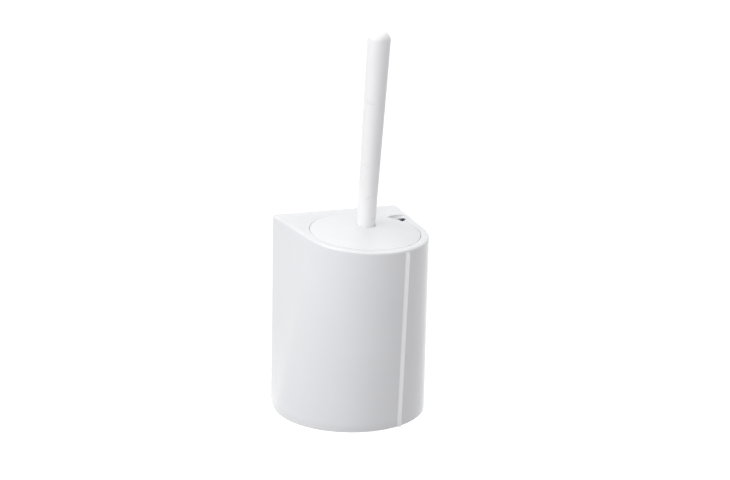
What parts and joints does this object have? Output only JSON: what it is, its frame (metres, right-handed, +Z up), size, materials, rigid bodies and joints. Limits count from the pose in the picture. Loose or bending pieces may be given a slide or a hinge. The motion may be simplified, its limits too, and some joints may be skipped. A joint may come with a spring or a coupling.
{
  "type": "toilet brush holder",
  "caption": "Rounded housing with a flat back, a sloping deck, a lift-out cup and a domed lid through which a tapered brush handle stands.",
  "frame": {"origin": "centre of the footprint box on the floor, with the feet's undersides at Z = 0", "axes": "+Z up, -Y towards the rounded front, +Y towards the flat back"},
  "size_m": [0.15, 0.128, 0.3701],
  "materials": {
    "gloss_white": "gloss",
    "cup_white": "satin",
    "nylon": "matt",
    "bristle_white": "matt",
    "soft_grey": "matt",
    "steel": "satin"
  },
  "bodies": {
    "root": {"housing": "gloss_white", "base_plate": "cup_white", "seat_ring": "soft_grey", "base_screw_1": "steel", "base_screw_2": "steel", "base_screw_3": "steel", "base_screw_4": "steel", "foot_1": "soft_grey", "foot_2": "soft_grey", "foot_3": "soft_grey", "foot_4": "soft_grey"},
    "cup": {"inner_cup": "cup_white"},
    "lid": {"lid": "gloss_white", "lid_bush": "nylon"},
    "brush": {"handle": "gloss_white", "handle_plug": "nylon", "rod_nut": "steel", "tie_rod": "steel", "thrust_washer": "steel", "stem_sleeve": "nylon", "brush_hub": "nylon", "hub_plug": "nylon", "bristles": "bristle_white"}
  },
  "joints": [
    {"name": "cup_lift", "type": "slide", "parent": "root", "child": "cup", "axis": [0, -0.1011, 0.9949], "range_m": [0, 0.18]},
    {"name": "lid_lift", "type": "slide", "parent": "cup", "child": "lid", "axis": [0, -0.1011, 0.9949], "range_m": [0, 0.175]},
    {"name": "brush_turn", "type": "hinge", "parent": "lid", "child": "brush", "pos_m": [0, -0.0045, 0.18304], "axis": [0, -0.1011, 0.9949], "continuous": true}
  ]
}
